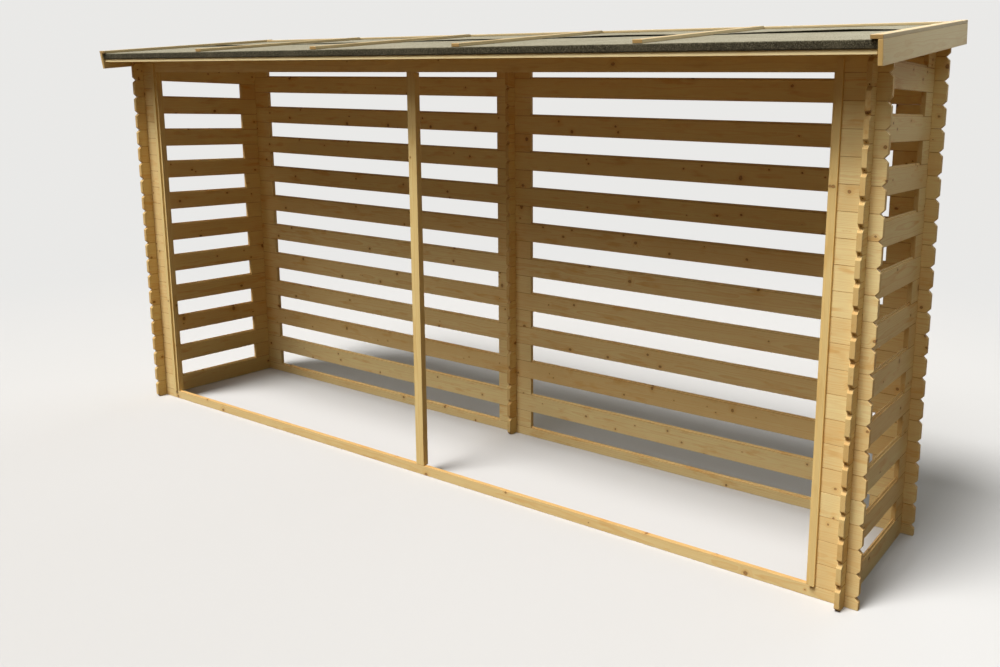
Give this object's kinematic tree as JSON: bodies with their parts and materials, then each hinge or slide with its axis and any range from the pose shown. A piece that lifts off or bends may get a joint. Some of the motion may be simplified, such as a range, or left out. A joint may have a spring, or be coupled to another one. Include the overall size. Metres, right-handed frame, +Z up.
{
  "type": "firewood log store",
  "caption": "Open-fronted garden log store of interlocking timber boards, with slatted sides and back and a felted lean-to roof.",
  "frame": {"origin": "on the ground, under the middle of the outline seen from above", "axes": "+X to the right along the front as one faces it, +Y from the open front to the back, +Z up"},
  "size_m": [4.202, 1.0132, 2.0384],
  "materials": {
    "wall_timber": "planed, untreated",
    "planed_timber": "planed, untreated",
    "roof_timber": "planed, untreated",
    "roof_felt": "mineral granules, matte"
  },
  "bodies": {
    "root": {"front_sill": "wall_timber", "front_header": "wall_timber", "left_return": "wall_timber", "right_return": "wall_timber", "left_boards": "wall_timber", "right_boards": "wall_timber", "left_blocks": "wall_timber", "right_blocks": "wall_timber", "back_boards": "wall_timber", "back_blocks": "wall_timber", "stub_wall": "wall_timber", "left_trim": "planed_timber", "right_trim": "planed_timber", "centre_post": "planed_timber", "roof_boards": "roof_timber", "front_fascia": "planed_timber", "lower_felt": "roof_felt", "upper_felt": "roof_felt", "left_verge": "planed_timber", "right_verge": "planed_timber", "left_edge_batten": "planed_timber", "right_edge_batten": "planed_timber", "roof_battens": "planed_timber", "rear_strip": "planed_timber"}
  },
  "joints": []
}
